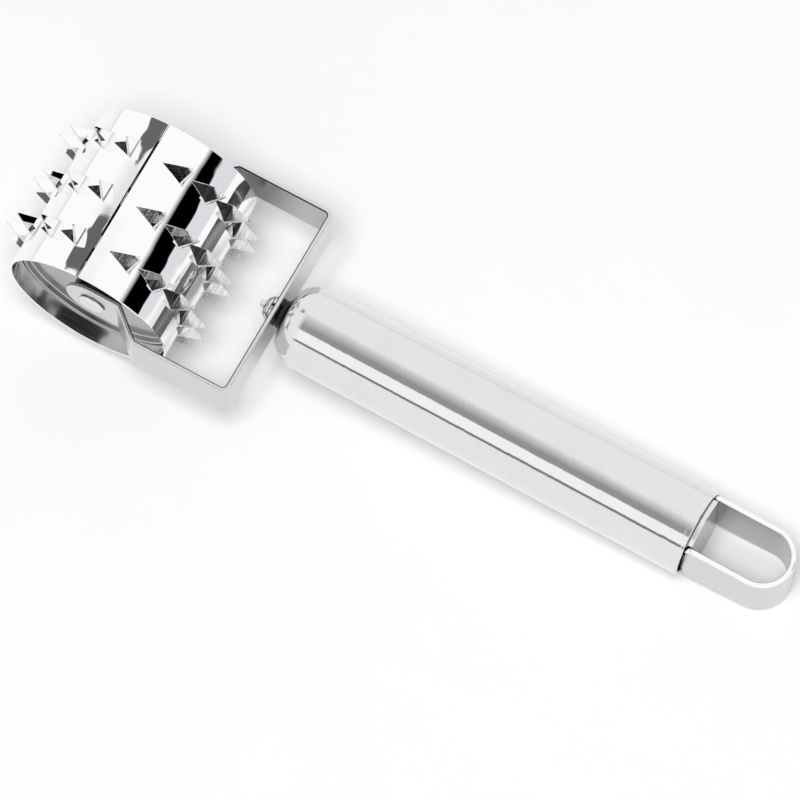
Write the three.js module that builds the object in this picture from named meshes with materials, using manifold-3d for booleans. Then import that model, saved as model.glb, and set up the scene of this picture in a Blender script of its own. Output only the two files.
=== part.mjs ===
// Roller meat tenderizer: a toothed sheet-metal roller that turns in a strip-steel yoke, on a tube
// handle with a hanging loop. Millimetres. In the tool's own frame X runs from the roller to the loop
// along the handle, Y is the roller's axis and Z is up. The whole tool is then laid down as it rests
// on a worktop.
import * as THREE from "three";
import { mergeVertices } from "three/addons/utils/BufferGeometryUtils.js";
import Module from "manifold-3d";

const wasm = await Module();
wasm.setup();

// Fits shared by all pieces
const seatGap = 0.25;
const cutOverrun = 2;

// Roller: a rolled sheet with three rows of teeth lanced out of it, closed at a straight seam
const rollerRadius = 22;
const rollerLength = 45.2;
const rollerSheet = 0.6;
const seamWidth = 0.4;
const seamAngle = THREE.MathUtils.degToRad(-6);
const toothRowCount = 3;
const toothRowPitch = 13.1;
const teethPerRow = 16;
const firstToothAngle = THREE.MathUtils.degToRad(20);
const lastToothAngle = THREE.MathUtils.degToRad(342);
const toothLength = 7.1;
const toothWidth = 5.5;
const toothTipWidth = 0.3;
const toothBendRadius = 0.5;
const tailShares = [0.75, 0.25];

// End discs: pressed cups let into both ends of the roller
const discRecess = 6.1;
const discSheet = 0.8;
const discLip = 1.6;
const discBendRadius = 1;

// Bearing at each end: a flanged bush in the disc, a washer, and the yoke's tab
const axleRadius = 2.5;
const axleRunningGap = 0.3;
const bushWall = 1.4;
const bushFlangeWidth = 2.2;
const bushFlange = 1;
const bushBarrel = 3.4;
const washerThickness = 0.9;
const washerOuterRadius = 5.6;
const axleHeadRadius = 3.55;
const axleHeadHeight = 1.3;

// Yoke: one bent strip, its arms stepped in to reach the bearings inside the roller's ends
const stripWidth = 15;
const stripThickness = 1.2;
const stripBendRadius = 1.6;
const yokeBackX = 41.6;
const yokeHalfWidth = 27.1;
const stepOuterX = 15.2;
const stepInnerX = 7.4;

// Neck: a screw from inside the yoke, a split washer, a black spacer, and the threaded insert in the handle
const neckScrewRadius = 2;
const neckHeadRadius = 3.3;
const neckHeadHeight = 2;
const neckRecessWidth = 1;
const neckRecessLength = 3.6;
const neckRecessDepth = 1.1;
const neckScrewLength = 13;
const splitWasherThickness = 0.9;
const splitWasherRadius = 3.6;
const splitWasherCut = 0.8;
const spacerThickness = 1;
const spacerRadius = 3.7;
const insertLength = 8;
const insertRadius = 4.2;

// Handle: a drawn tube with a domed nose, a little wider at the loop end
const handleNoseRadius = 10.75;
const handleTailRadius = 11.4;
const handleWall = 1;
const handleTailX = 157.8;
const noseFlatRadius = 4.4;
const noseDepth = 6.6;

// End cap: a plug with a thin flange, flattened on two sides where the loop's legs pass
const capFlange = 1.4;
const capPlugLength = 6;
const capWall = 1.2;

// Hanging loop: a strip bent to a U, its legs narrowed to tangs inside the handle
const loopStrip = 1.3;
const loopLength = 25.5;
const loopTipX = handleTailX + loopLength;
const loopRootHeight = 18.6;
const loopTipHeight = 17.2;
const loopShoulderRadius = 2;
const tangHeight = 11;
const tangLength = 12;
const tangCornerGap = 0.5;

// Facets
const rollerSides = 60;
const handleSides = 48;
const smallSides = 24;
const bendSteps = 3;
const domeSteps = 5;
const loopSteps = 20;

// Materials
function metal(color, roughness) {
  return new THREE.MeshStandardMaterial({ color, roughness, metalness: 1 });
}
const mirrorSteel = metal(0xe6e8ea, 0.08);
const satinSteel = metal(0xd2d3d3, 0.3);
const stripSteel = metal(0xc9cac9, 0.28);
const turnedSteel = metal(0xb9bbbe, 0.25);
const bronze = metal(0xb08a57, 0.4);
const blackWasher = new THREE.MeshStandardMaterial({ color: 0x121212, roughness: 0.6, metalness: 0 });

// Solids
function solidOf(geometry) {
  const bare = geometry.clone();
  bare.deleteAttribute("normal");
  bare.deleteAttribute("uv");
  const merged = mergeVertices(bare);
  const corners = merged.index.array;
  const triangles = [];
  for (let i = 0; i < corners.length; i += 3) {
    const [a, b, c] = [corners[i], corners[i + 1], corners[i + 2]];
    if (a !== b && b !== c && c !== a) {
      triangles.push(a, b, c);
    }
  }
  const vertProperties = new Float32Array(merged.attributes.position.array);
  const triVerts = new Uint32Array(triangles);
  return new wasm.Manifold(new wasm.Mesh({ numProp: 3, vertProperties, triVerts }));
}

function geometryOf(solid) {
  const mesh = solid.getMesh();
  const geometry = new THREE.BufferGeometry();
  geometry.setAttribute("position", new THREE.Float32BufferAttribute(mesh.vertProperties, 3));
  geometry.setIndex(Array.from(mesh.triVerts));
  geometry.computeVertexNormals();
  return geometry;
}

function plate(outline, depth) {
  const geometry = new THREE.ExtrudeGeometry(new THREE.Shape(outline), { depth, bevelEnabled: false });
  return geometry.translate(0, 0, -depth / 2);
}

function alongY(outline, depth) {
  return plate(outline, depth).rotateX(Math.PI / 2);
}

function alongX(outline, depth) {
  return alongY(outline, depth).rotateZ(Math.PI / 2);
}

function vectors(points) {
  return points.map(([u, v]) => new THREE.Vector2(u, v));
}

// A ring turned about Y, from the (radius, y) corners of its section, listed anticlockwise
function ring(points, sides) {
  return new THREE.LatheGeometry(vectors([...points, points[0]]), sides);
}

// A pin turned about Y, from the (radius, y) points of its side, from one end's middle to the other's
function pin(points, sides) {
  return new THREE.LatheGeometry(vectors(points), sides);
}

// A plain cylinder along Y, for cutting round holes
function borer(radius, length) {
  return new THREE.CylinderGeometry(radius, radius, length, smallSides);
}

function laidAlongX(geometry) {
  return geometry.rotateZ(-Math.PI / 2);
}

function arc(centreU, centreV, radiusU, radiusV, from, to, steps) {
  return Array.from({ length: steps + 1 }, (_, i) => {
    const angle = from + ((to - from) * i) / steps;
    return [centreU + radiusU * Math.cos(angle), centreV + radiusV * Math.sin(angle)];
  });
}

// The plan of a strip that follows a path, with each corner rounded to a radius at the strip's middle
function bentStrip(path, thickness, radius, steps) {
  const origin = new THREE.Vector2();
  const left = [];
  const right = [];
  const place = (point, heading) => {
    const side = new THREE.Vector2(-heading.y, heading.x).multiplyScalar(thickness / 2);
    left.push(point.clone().add(side));
    right.push(point.clone().sub(side));
  };
  const headings = path.slice(1).map((point, i) => point.clone().sub(path[i]).normalize());
  place(path[0], headings[0]);
  for (let i = 1; i < path.length - 1; i += 1) {
    const before = headings[i - 1];
    const after = headings[i];
    const turn = Math.atan2(before.cross(after), before.dot(after));
    const inward = new THREE.Vector2(-before.y, before.x).multiplyScalar(radius * Math.sign(turn));
    const reach = radius * Math.tan(Math.abs(turn) / 2);
    const centre = path[i].clone().addScaledVector(before, -reach).add(inward);
    for (let step = 0; step <= steps; step += 1) {
      const part = (turn * step) / steps;
      const spoke = inward.clone().negate().rotateAround(origin, part);
      place(spoke.add(centre), before.clone().rotateAround(origin, part));
    }
  }
  place(path.at(-1), headings.at(-1));
  return [...left, ...right.reverse()];
}

const tool = new THREE.Group();

function add(name, geometry, material) {
  const mesh = new THREE.Mesh(geometry, material);
  mesh.name = name;
  tool.add(mesh);
  return mesh;
}

// A piece at each end of the roller, made for the right end and turned round for the left
function addPair(name, geometry, material) {
  add(`${name}_right`, geometry, material);
  add(`${name}_left`, geometry, material).rotation.x = Math.PI;
}

// Places along the roller's axis, from its middle outwards
const rimY = rollerLength / 2;
const discOuterY = rimY - discRecess;
const discInnerY = discOuterY - discSheet;
const flangeInnerY = discOuterY + seatGap;
const flangeOuterY = flangeInnerY + bushFlange;
const washerInnerY = flangeOuterY + seatGap;
const washerOuterY = washerInnerY + washerThickness;
const tabInnerY = washerOuterY + seatGap;
const tabOuterY = tabInnerY + stripThickness;
const headInnerY = tabOuterY + seatGap;
const headOuterY = headInnerY + axleHeadHeight;
const bushBore = axleRadius + axleRunningGap;
const bushRadius = bushBore + bushWall;
const boreRadius = rollerRadius - rollerSheet;

// Angles of the teeth round the roller, from the top towards the handle
const toothPitch = (lastToothAngle - firstToothAngle) / (teethPerRow - 1);
const toothAngles = Array.from({ length: teethPerRow }, (_, i) => firstToothAngle + toothPitch * i);
const bendOuterRadius = toothBendRadius + rollerSheet;
const bendMiddleRadius = toothBendRadius + rollerSheet / 2;
const toothBendLength = (bendMiddleRadius * Math.PI) / 2;
const toothRootRadius = rollerRadius + toothBendRadius;
const toothTipRadius = toothRootRadius + toothLength - toothBendLength;

// One tooth, bent up at the top of the roller: its sheet follows the bend and stands straight out
function toothSolid() {
  const section = vectors([
    [rollerSheet, rollerRadius - rollerSheet * tailShares[0]],
    [rollerSheet, rollerRadius - rollerSheet * tailShares[1]],
    ...arc(0, toothRootRadius, toothBendRadius, toothBendRadius, -Math.PI / 2, -Math.PI, bendSteps),
    [-toothBendRadius, toothTipRadius],
    [-bendOuterRadius, toothTipRadius],
    ...arc(0, toothRootRadius, bendOuterRadius, bendOuterRadius, -Math.PI, -Math.PI / 2, bendSteps),
  ]);
  const rootWidth = toothWidth * (1 - toothBendLength / toothLength);
  const floor = boreRadius - cutOverrun;
  const face = vectors([
    [toothWidth / 2, floor],
    [toothWidth / 2, boreRadius],
    [rootWidth / 2, toothRootRadius],
    [toothTipWidth / 2, toothTipRadius],
    [toothTipWidth / 2, toothTipRadius + cutOverrun],
    [-toothTipWidth / 2, toothTipRadius + cutOverrun],
    [-toothTipWidth / 2, toothTipRadius],
    [-rootWidth / 2, toothRootRadius],
    [-toothWidth / 2, boreRadius],
    [-toothWidth / 2, floor],
  ]);
  const bentBar = solidOf(alongY(section, toothWidth + cutOverrun));
  return bentBar.intersect(solidOf(alongX(face, 2 * (bendOuterRadius + cutOverrun))));
}

// The hole that a tooth leaves, pointing back from its bend
function toothHoleGeometry() {
  const outline = vectors([[0, -toothWidth / 2], [0, toothWidth / 2], [-toothLength, 0]]);
  const lowest = Math.sqrt(boreRadius ** 2 - toothLength ** 2) - seatGap;
  const highest = rollerRadius + seatGap;
  return plate(outline, highest - lowest).translate(0, 0, (highest + lowest) / 2);
}

function rollerShell() {
  let shell = solidOf(ring([
    [boreRadius, -rimY],
    [rollerRadius, -rimY],
    [rollerRadius, rimY],
    [boreRadius, rimY],
  ], rollerSides));
  const seam = new THREE.BoxGeometry(seamWidth, rollerLength + cutOverrun, rollerSheet + cutOverrun);
  shell = shell.subtract(solidOf(seam.translate(0, 0, boreRadius + rollerSheet / 2).rotateY(seamAngle)));
  const tooth = geometryOf(toothSolid());
  const hole = toothHoleGeometry();
  const bendAngle = Math.atan(bendMiddleRadius / rollerRadius);
  for (let row = 0; row < toothRowCount; row += 1) {
    const rowY = (row - (toothRowCount - 1) / 2) * toothRowPitch;
    for (const angle of toothAngles) {
      const turn = angle + bendAngle;
      shell = shell.subtract(solidOf(hole.clone().translate(0, rowY, 0).rotateY(turn)));
      shell = shell.add(solidOf(tooth.clone().translate(0, rowY, 0).rotateY(turn)));
    }
  }
  return geometryOf(shell);
}
add("roller_shell", rollerShell(), mirrorSteel);

// End discs
const lipRadius = boreRadius - seatGap;
const lipY = discOuterY + discLip;
const discHoleRadius = bushRadius + seatGap;
const discBendY = discInnerY + discBendRadius;
const bendCentreRadius = lipRadius - discBendRadius;
addPair("end_disc", ring([
  [discHoleRadius, discInnerY],
  ...arc(bendCentreRadius, discBendY, discBendRadius, discBendRadius, -Math.PI / 2, 0, bendSteps),
  [lipRadius, lipY],
  [lipRadius - discSheet, lipY],
  [lipRadius - discSheet, discOuterY],
  [discHoleRadius, discOuterY],
], rollerSides), satinSteel);

// Bushes in the discs
const bushFlangeRadius = bushRadius + bushFlangeWidth;
addPair("bush", ring([
  [bushBore, flangeInnerY - bushBarrel],
  [bushRadius, flangeInnerY - bushBarrel],
  [bushRadius, flangeInnerY],
  [bushFlangeRadius, flangeInnerY],
  [bushFlangeRadius, flangeOuterY],
  [bushBore, flangeOuterY],
], smallSides), bronze);

// Washers between the bushes and the yoke's tabs
addPair("thrust_washer", ring([
  [bushBore, washerInnerY],
  [washerOuterRadius, washerInnerY],
  [washerOuterRadius, washerOuterY],
  [bushBore, washerOuterY],
], smallSides), turnedSteel);

// Axle, headed over outside both tabs
const headDome = arc(0, headInnerY, axleHeadRadius, axleHeadHeight, 0, Math.PI / 2, domeSteps);
const headSide = headDome.slice(0, -1);
const axleHalf = [[axleRadius, headInnerY], ...headSide, [0, headOuterY]];
const axleOtherHalf = axleHalf.map(([radius, along]) => [radius, -along]).reverse();
add("axle", pin([...axleOtherHalf, ...axleHalf], smallSides), turnedSteel);

// Yoke
function yokeGeometry() {
  const armY = yokeHalfWidth - stripThickness / 2;
  const tabY = (tabInnerY + tabOuterY) / 2;
  const backX = yokeBackX - stripThickness / 2;
  const half = [[-stripWidth, tabY], [stepInnerX, tabY], [stepOuterX, armY], [backX, armY]];
  const path = vectors([...half, ...half.map(([x, y]) => [x, -y]).reverse()]);
  const strip = solidOf(plate(bentStrip(path, stripThickness, stripBendRadius, bendSteps), stripWidth));
  const edge = stripWidth / 2;
  const side = vectors([
    ...arc(0, 0, edge, edge, Math.PI / 2, (Math.PI * 3) / 2, 2 * domeSteps),
    [yokeBackX + cutOverrun, -edge],
    [yokeBackX + cutOverrun, edge],
  ]);
  const rounded = strip.intersect(solidOf(alongY(side, 2 * (yokeHalfWidth + cutOverrun))));
  const axleHole = borer(axleRadius + seatGap, 2 * (yokeHalfWidth + cutOverrun));
  const screwHole = laidAlongX(borer(neckScrewRadius + seatGap, stripThickness + cutOverrun));
  const bored = rounded.subtract(solidOf(axleHole));
  return geometryOf(bored.subtract(solidOf(screwHole.translate(backX, 0, 0))));
}
add("yoke", yokeGeometry(), stripSteel);

// Places along the neck, from the screw's head to the handle's nose
const splitWasherFrontX = yokeBackX - stripThickness - seatGap - splitWasherThickness;
const neckHeadBackX = splitWasherFrontX - seatGap;
const neckHeadFrontX = neckHeadBackX - neckHeadHeight;
const spacerFrontX = yokeBackX + seatGap;
const noseX = spacerFrontX + spacerThickness + seatGap;
const neckHole = neckScrewRadius + seatGap;

function screwGeometry() {
  const dome = arc(0, neckHeadBackX, neckHeadRadius, -neckHeadHeight, Math.PI / 2, 0, domeSteps);
  const endX = neckHeadBackX + neckScrewLength;
  const shaft = [[neckScrewRadius, neckHeadBackX], [neckScrewRadius, endX]];
  const side = [[0, neckHeadFrontX], ...dome.slice(1), ...shaft, [0, endX]];
  const slot = new THREE.BoxGeometry(2 * neckRecessDepth, neckRecessLength, neckRecessWidth);
  const slots = [slot, slot.clone().rotateX(Math.PI / 2)];
  let screw = solidOf(laidAlongX(pin(side, smallSides)));
  for (const cut of slots) {
    screw = screw.subtract(solidOf(cut.translate(neckHeadFrontX, 0, 0)));
  }
  return geometryOf(screw);
}
add("neck_screw", screwGeometry(), turnedSteel);

function splitWasherGeometry() {
  const washer = laidAlongX(ring([
    [neckHole, splitWasherFrontX],
    [splitWasherRadius, splitWasherFrontX],
    [splitWasherRadius, splitWasherFrontX + splitWasherThickness],
    [neckHole, splitWasherFrontX + splitWasherThickness],
  ], smallSides));
  const reach = splitWasherRadius + cutOverrun;
  const cut = new THREE.BoxGeometry(splitWasherThickness + cutOverrun, splitWasherCut, reach);
  cut.translate(splitWasherFrontX + splitWasherThickness / 2, 0, reach / 2);
  return geometryOf(solidOf(washer).subtract(solidOf(cut)));
}
add("split_washer", splitWasherGeometry(), turnedSteel);

add("neck_spacer", laidAlongX(ring([
  [neckHole, spacerFrontX],
  [spacerRadius, spacerFrontX],
  [spacerRadius, spacerFrontX + spacerThickness],
  [neckHole, spacerFrontX + spacerThickness],
], smallSides)), blackWasher);

const insertFrontX = noseX + handleWall + seatGap;
add("threaded_insert", laidAlongX(ring([
  [neckHole, insertFrontX],
  [insertRadius, insertFrontX],
  [insertRadius, insertFrontX + insertLength],
  [neckHole, insertFrontX + insertLength],
], smallSides)), turnedSteel);

// Handle tube, with its section as (radius, x) corners
const noseBackX = noseX + noseDepth;
const noseRise = handleNoseRadius - noseFlatRadius;
const tubeBore = handleTailRadius - handleWall;
const outerDome = arc(noseFlatRadius, noseBackX, noseRise, -noseDepth, Math.PI / 2, 0, domeSteps);
const boreRise = noseRise - handleWall;
const boreDepth = noseDepth - handleWall;
const innerDome = arc(noseFlatRadius, noseBackX, boreRise, -boreDepth, 0, Math.PI / 2, domeSteps);
add("handle_tube", laidAlongX(ring([
  [neckHole, noseX],
  ...outerDome,
  [handleTailRadius, handleTailX],
  [tubeBore, handleTailX],
  ...innerDome,
  [neckHole, noseX + handleWall],
], handleSides)), satinSteel);

// The loop is as wide as the bore leaves room for at the corners of its tangs
const loopHalfWidth = Math.sqrt((tubeBore - tangCornerGap) ** 2 - (tangHeight / 2) ** 2);

// End cap: a turned plug with its sides cut flat for the loop's legs
function capGeometry() {
  const plugRadius = tubeBore - seatGap;
  const flangeX = handleTailX + seatGap;
  const cup = laidAlongX(pin([
    [0, flangeX + capFlange - capWall],
    [plugRadius - capWall, flangeX + capFlange - capWall],
    [plugRadius - capWall, handleTailX - capPlugLength],
    [plugRadius, handleTailX - capPlugLength],
    [plugRadius, flangeX],
    [handleTailRadius, flangeX],
    [handleTailRadius, flangeX + capFlange],
    [0, flangeX + capFlange],
  ], handleSides));
  const width = 2 * (loopHalfWidth - loopStrip - seatGap);
  const length = capPlugLength + capFlange + cutOverrun;
  const block = new THREE.BoxGeometry(2 * length, width, 2 * (handleTailRadius + cutOverrun));
  return geometryOf(solidOf(cup).intersect(solidOf(block.translate(handleTailX, 0, 0))));
}
add("end_cap", capGeometry(), satinSteel);

// Hanging loop
function loopGeometry() {
  const bendX = loopTipX - loopHalfWidth;
  const tangX = handleTailX - tangLength;
  const inside = loopHalfWidth - loopStrip;
  const plan = vectors([
    [tangX, -loopHalfWidth],
    ...arc(bendX, 0, loopHalfWidth, loopHalfWidth, -Math.PI / 2, Math.PI / 2, loopSteps),
    [tangX, loopHalfWidth],
    [tangX, inside],
    ...arc(bendX, 0, inside, inside, Math.PI / 2, -Math.PI / 2, loopSteps),
    [tangX, -inside],
  ]);
  const shoulderX = handleTailX + seatGap;
  const cornerX = shoulderX + loopShoulderRadius;
  const cornerZ = loopRootHeight / 2 - loopShoulderRadius;
  const upperSide = [
    [tangX - cutOverrun, tangHeight / 2],
    [shoulderX, tangHeight / 2],
    ...arc(cornerX, cornerZ, loopShoulderRadius, loopShoulderRadius, Math.PI, Math.PI / 2, bendSteps),
    [loopTipX, loopTipHeight / 2],
    [loopTipX + cutOverrun, loopTipHeight / 2],
  ];
  const side = vectors([...upperSide, ...upperSide.map(([x, z]) => [x, -z]).reverse()]);
  const band = solidOf(plate(plan, loopRootHeight + cutOverrun));
  return geometryOf(band.intersect(solidOf(alongY(side, 2 * (loopHalfWidth + cutOverrun)))));
}
add("hanging_loop", loopGeometry(), stripSteel);

// The tool lies on the tips of its lowest teeth and on the tip of its loop, centred over the origin
const restTilts = toothAngles.map((angle) => {
  const drop = -toothTipRadius * Math.cos(angle) - loopTipHeight / 2;
  return Math.atan2(drop, loopTipX - toothTipRadius * Math.sin(angle));
});
tool.rotation.y = Math.max(...restTilts);
tool.updateMatrixWorld(true);
const reach = new THREE.Box3().setFromObject(tool, true);
tool.position.set(-(reach.min.x + reach.max.x) / 2, 0, -reach.min.z);

const tenderizer = new THREE.Group();
tenderizer.add(tool);
export default tenderizer;
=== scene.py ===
"""Roller meat tenderizer in polished steel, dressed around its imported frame.

A rolled sheet with three rows of bent-up teeth turns on an axle in a strip-steel yoke, which a
screw holds to a tube handle with a hanging loop. Shapes are worked out in the tool's own frame, in
metres: X runs from the roller to the loop along the handle, Y along the axle, and Z up.
"""
import math
import random

import bpy
from mathutils import Matrix, Vector
from mathutils.geometry import delaunay_2d_cdt


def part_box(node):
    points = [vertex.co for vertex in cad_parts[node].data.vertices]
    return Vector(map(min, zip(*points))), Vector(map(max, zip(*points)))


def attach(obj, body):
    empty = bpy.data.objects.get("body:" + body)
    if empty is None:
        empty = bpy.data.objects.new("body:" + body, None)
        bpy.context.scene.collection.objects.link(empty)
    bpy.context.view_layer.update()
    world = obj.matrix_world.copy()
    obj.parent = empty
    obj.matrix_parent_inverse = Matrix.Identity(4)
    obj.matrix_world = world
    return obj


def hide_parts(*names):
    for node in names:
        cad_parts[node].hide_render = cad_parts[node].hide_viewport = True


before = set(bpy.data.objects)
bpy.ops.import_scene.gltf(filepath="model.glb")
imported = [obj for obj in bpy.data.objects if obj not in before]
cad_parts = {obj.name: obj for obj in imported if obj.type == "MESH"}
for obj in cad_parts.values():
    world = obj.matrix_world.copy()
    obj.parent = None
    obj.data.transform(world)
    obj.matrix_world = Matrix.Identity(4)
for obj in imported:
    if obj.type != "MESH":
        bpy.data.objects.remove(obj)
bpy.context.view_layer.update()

bl_info = {
    "name": "Roller Meat Tenderizer",
    "version": (1, 0, 0),
    "blender": (4, 5, 0),
    "location": "3D View > Sidebar > Tenderizer",
    "description": "Builds a toothed steel roller in its yoke, with its handle, loop and studio",
    "category": "Object",
}

MM = 0.001
SAME_PLACE = 1e-7
LARGE_ROUND, RING_ROUND, SMALL_ROUND = 192, 72, 64
TOOTH_ROUNDING = 0.06 * MM
FLOOR_HALF = 1.5


def middle(node):
    low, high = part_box(node)
    return (low + high) / 2


# The tool's own frame, from the middle of its axle and the way to the insert in its handle
AXLE_MIDDLE = middle("axle")
ALONG = (middle("threaded_insert") - AXLE_MIDDLE).normalized()
TOOL_TURN = Matrix.Rotation(math.atan2(-ALONG.z, ALONG.x), 4, "Y")
TOOL = Matrix.Translation(AXLE_MIDDLE) @ TOOL_TURN

# Places for shapes turned about the tool's X or Y axis, whose own axis is Z
ABOUT_X = Matrix.Rotation(math.pi / 2, 4, "Y")
ABOUT_Y = Matrix.Rotation(-math.pi / 2, 4, "X")
OTHER_SIDE = Matrix.Rotation(math.pi, 4, "X")


def length(name, description, millimetres):
    return bpy.props.FloatProperty(
        name=name, description=description, default=millimetres * MM, min=0, precision=5, unit="LENGTH"
    )


def angle(name, description, degrees):
    return bpy.props.FloatProperty(
        name=name, description=description, default=math.radians(degrees), unit="ROTATION"
    )


def colour(name, description, grey):
    return bpy.props.FloatVectorProperty(
        name=name, description=description, default=grey, min=0, max=1, size=3, subtype="COLOR"
    )


def share(name, description, default):
    return bpy.props.FloatProperty(
        name=name, description=description, default=default, min=0, max=1, subtype="FACTOR"
    )


class TenderizerSizes(bpy.types.PropertyGroup):
    """Sizes of the tool's pieces"""

    roller_radius: length("Roller radius", "Outside of the rolled sheet", 22)
    roller_length: length("Roller length", "Length of the rolled sheet", 45.2)
    roller_sheet: length("Roller sheet", "Thickness of the rolled sheet", 0.6)
    seam_gap: length("Seam gap", "Gap between the sheet's two ends", 0.4)
    seam_angle: angle("Seam angle", "Place of the seam, from the top towards the handle", -6)
    tooth_rows: bpy.props.IntProperty(
        name="Tooth rows", description="Rows of teeth", default=3, min=1
    )
    row_teeth: bpy.props.IntProperty(
        name="Teeth in a row", description="Teeth in a row", default=16, min=2
    )
    row_pitch: length("Row pitch", "Distance between rows of teeth", 13.1)
    first_tooth: angle("First tooth", "Place of the first tooth of a row", 20)
    last_tooth: angle("Last tooth", "Place of the last tooth of a row", 342)
    tooth_length: length("Tooth length", "Length of a tooth, flat in the sheet", 7.1)
    tooth_width: length("Tooth width", "Width of a tooth at its root", 5.5)
    tooth_tip: length("Tooth tip", "Width of a tooth at its tip", 0.3)
    tooth_bend: length("Tooth bend", "Inside radius of a tooth's bend", 0.5)
    tooth_twist: angle("Tooth twist", "Most that a tooth is turned about its own length", 4)
    tooth_seed: bpy.props.IntProperty(
        name="Tooth seed", description="Start of the teeth's chance twists", default=3267
    )
    disc_place: length("Disc place", "Outer face of an end disc, from the roller's middle", 16.5)
    disc_sheet: length("Disc sheet", "Thickness of an end disc", 0.8)
    disc_radius: length("Disc radius", "Outside of an end disc's lip", 21.15)
    disc_hole: length("Disc hole", "Radius of an end disc's hole", 4.45)
    disc_lip: length("Disc lip", "Height of an end disc's lip over its outer face", 1.6)
    bore: length("Bearing bore", "Radius of the bores of the bushes and washers", 2.8)
    bush_radius: length("Bush radius", "Outside of a bush's barrel", 4.2)
    bush_flange_radius: length("Bush flange radius", "Outside of a bush's flange", 6.4)
    bush_start: length("Bush start", "Inner end of a bush, from the roller's middle", 13.35)
    bush_flange_start: length("Bush flange start", "Inner face of a bush's flange", 16.75)
    bush_end: length("Bush end", "Outer face of a bush's flange", 17.75)
    washer_radius: length("Washer radius", "Outside of a thrust washer", 5.6)
    washer_start: length("Washer start", "Inner face of a thrust washer", 18)
    washer_end: length("Washer end", "Outer face of a thrust washer", 18.9)
    axle_radius: length("Axle radius", "Radius of the axle", 2.5)
    axle_head_start: length("Axle head start", "Inner face of the axle's head", 20.6)
    axle_head_radius: length("Axle head radius", "Radius of the axle's head", 3.55)
    axle_head_height: length("Axle head height", "Height of the axle's domed head", 1.3)
    strip_width: length("Strip width", "Width of the yoke's strip", 15)
    strip_sheet: length("Strip thickness", "Thickness of the yoke's strip", 1.2)
    strip_bend: length("Strip bend", "Radius of the yoke's bends, at the strip's middle", 1.6)
    tab_place: length("Tab place", "Middle of a tab's thickness, from the roller's middle", 19.75)
    arm_place: length("Arm place", "Middle of an arm's thickness, from the roller's middle", 26.5)
    step_start: length("Step start", "Where an arm starts to step out, from the axle", 7.4)
    step_end: length("Step end", "Where an arm is fully stepped out", 15.2)
    back_place: length("Back place", "Middle of the yoke's back, from the axle", 41)
    screw_radius: length("Screw radius", "Radius of the neck screw", 2)
    screw_head_radius: length("Screw head radius", "Radius of the neck screw's head", 3.3)
    screw_head_start: length("Screw head start", "Top of the neck screw's head, from the axle", 37)
    screw_head_end: length("Screw head end", "Underside of the neck screw's head", 39)
    screw_end: length("Screw end", "Tip of the neck screw", 52)
    recess_width: length("Recess width", "Width of the cross recess", 1)
    recess_length: length("Recess length", "Length of the cross recess", 3.6)
    recess_depth: length("Recess depth", "Depth of the cross recess", 1.1)
    axle_hole: length("Axle hole", "Radius of the holes in the yoke's tabs", 2.75)
    neck_hole: length("Neck hole", "Radius of the holes that the neck screw passes", 2.25)
    split_radius: length("Split washer radius", "Outside of the split washer", 3.6)
    split_start: length("Split washer start", "Front of the split washer, from the axle", 39.25)
    split_end: length("Split washer end", "Back of the split washer", 40.15)
    split_gap: length("Split washer gap", "Width of the split washer's cut", 0.8)
    spacer_radius: length("Spacer radius", "Outside of the neck's black spacer", 3.7)
    spacer_start: length("Spacer start", "Front of the neck's spacer, from the axle", 41.85)
    spacer_end: length("Spacer end", "Back of the neck's spacer", 42.85)
    insert_radius: length("Insert radius", "Outside of the threaded insert", 4.2)
    insert_start: length("Insert start", "Front of the threaded insert, from the axle", 44.35)
    insert_end: length("Insert end", "Back of the threaded insert", 52.35)
    nose_start: length("Nose start", "Tip of the handle's nose, from the axle", 43.1)
    nose_end: length("Nose end", "Where the handle's nose runs into its side", 49.7)
    nose_flat: length("Nose flat", "Radius of the flat of the handle's nose", 4.4)
    nose_radius: length("Handle front radius", "Radius of the handle behind its nose", 10.75)
    tail_radius: length("Handle end radius", "Radius of the handle at its mouth", 11.4)
    tail_place: length("Handle end", "Mouth of the handle, from the axle", 157.8)
    tube_wall: length("Handle wall", "Thickness of the handle's wall", 1)
    cap_start: length("Cap start", "Inner face of the cap's flange, from the axle", 158.05)
    cap_flange: length("Cap flange", "Thickness of the cap's flange", 1.4)
    cap_flat: length("Cap flat", "Middle of the cap to the flats where the loop passes", 6.68)
    cap_plug: length("Cap plug", "Length of the cap's plug", 6)
    cap_plug_radius: length("Cap plug radius", "Outside of the cap's plug", 10.15)
    loop_sheet: length("Loop thickness", "Thickness of the loop's strip", 1.3)
    loop_half: length("Loop half width", "Middle of the loop to the outside of a leg", 8.23)
    loop_start: length("Loop start", "Ends of the loop's tangs, from the axle", 145.8)
    loop_shoulder: length("Loop shoulder", "Shoulders of the loop, from the axle", 158.05)
    loop_tip: length("Loop tip", "Tip of the loop, from the axle", 183.3)
    loop_root_height: length("Loop root height", "Height of the loop at its shoulders", 18.6)
    loop_tip_height: length("Loop tip height", "Height of the loop at its tip", 17.2)
    tang_height: length("Tang height", "Height of the tangs inside the handle", 11)


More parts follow.
